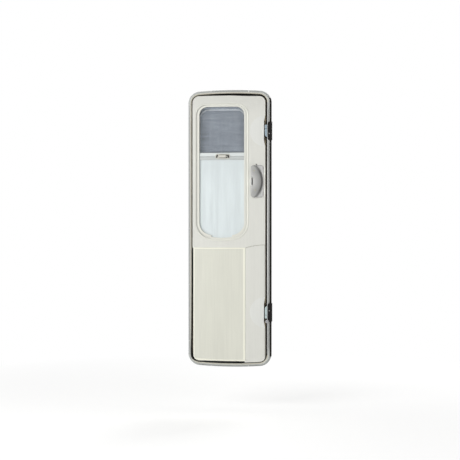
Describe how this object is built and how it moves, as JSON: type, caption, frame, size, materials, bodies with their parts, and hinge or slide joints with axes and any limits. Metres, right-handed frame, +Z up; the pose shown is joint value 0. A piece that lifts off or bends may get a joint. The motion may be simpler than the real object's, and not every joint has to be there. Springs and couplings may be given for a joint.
{
  "type": "caravan entry door",
  "caption": "Tall caravan entry door: a bent aluminium frame with wall flange and a hinged leaf, with a window, flyscreen, pull-up blind, lever handle and latch fittings.",
  "frame": {"origin": "on the frame's wall flange, halfway across the flange, at the middle of the bottom rail", "axes": "+X from the hinge side to the latch side as seen from inside the caravan, +Y out of the caravan, +Z up"},
  "size_m": [0.541, 0.0865, 1.766],
  "materials": {
    "frame_aluminium": "satin, lightly weathered",
    "black_plastic": "matt",
    "chrome": "polished",
    "hinge_white": "satin",
    "pin_steel": "brushed",
    "core": "plain",
    "edge_band": "satin",
    "white_skin": "satin",
    "rubber": "matt",
    "upper_lining": "fine grain",
    "lower_lining": "fine grain",
    "cover_panel": "fine upright grain",
    "window_ring": "satin",
    "flyscreen": "fine mesh",
    "blind_cloth": "plain cloth",
    "bar_white": "satin",
    "catch_grey": "satin",
    "pane": "tinted",
    "pane_trim": "satin",
    "handle_grey": "satin",
    "latch_steel": "dark",
    "outside_handle": "satin"
  },
  "bodies": {
    "frame": {"frame_bottom_rail": "frame_aluminium", "frame_hinge_stile": "frame_aluminium", "frame_latch_stile": "frame_aluminium", "frame_top_rail": "frame_aluminium", "lower_hinge_bracket": "hinge_white", "lower_hinge_pin": "pin_steel", "lower_keeper": "black_plastic", "lower_striker": "chrome", "lower_striker_seat": "black_plastic", "upper_hinge_bracket": "hinge_white", "upper_hinge_pin": "pin_steel", "upper_keeper": "black_plastic", "upper_striker": "chrome", "upper_striker_seat": "black_plastic"},
    "leaf": {"blind_bar": "bar_white", "blind_catch_left_hook": "black_plastic", "blind_catch_plate": "catch_grey", "blind_catch_right_hook": "black_plastic", "blind_catch_thumb": "bar_white", "blind_fabric": "blind_cloth", "blind_guide": "window_ring", "flyscreen": "flyscreen", "inside_handle_plate": "handle_grey", "leaf_edge_band": "edge_band", "leaf_hinge_stile": "core", "leaf_latch_stile": "core", "leaf_lower_core": "core", "leaf_seal": "rubber", "leaf_top_rail": "core", "lock_button": "handle_grey", "lock_cylinder": "chrome", "lower_cover_panel": "cover_panel", "lower_hinge_strap": "hinge_white", "lower_latch_boss": "lower_lining", "lower_latch_case": "latch_steel", "lower_lining": "lower_lining", "outer_skin": "white_skin", "outside_handle_grip": "outside_handle", "outside_handle_plate": "outside_handle", "pane_seal": "rubber", "pane_trim": "pane_trim", "screen_bar": "bar_white", "upper_hinge_strap": "hinge_white", "upper_latch_boss": "upper_lining", "upper_latch_case": "latch_steel", "upper_lining": "upper_lining", "window_liner": "window_ring", "window_pane": "pane", "window_ring": "window_ring"},
    "lever": {"inside_handle_lever": "handle_grey"}
  },
  "joints": [
    {"name": "door_hinge", "type": "hinge", "parent": "frame", "child": "leaf", "pos_m": [-0.2615, 0.017, 0.8785], "axis": [0, 0, 1], "range_deg": [0, 170]},
    {"name": "handle", "type": "hinge", "parent": "leaf", "child": "lever", "pos_m": [0.145, -0.046, 1.1775], "axis": [0, 0, -1], "range_deg": [0, 30], "stiffness_Nm_per_rad": 2}
  ]
}
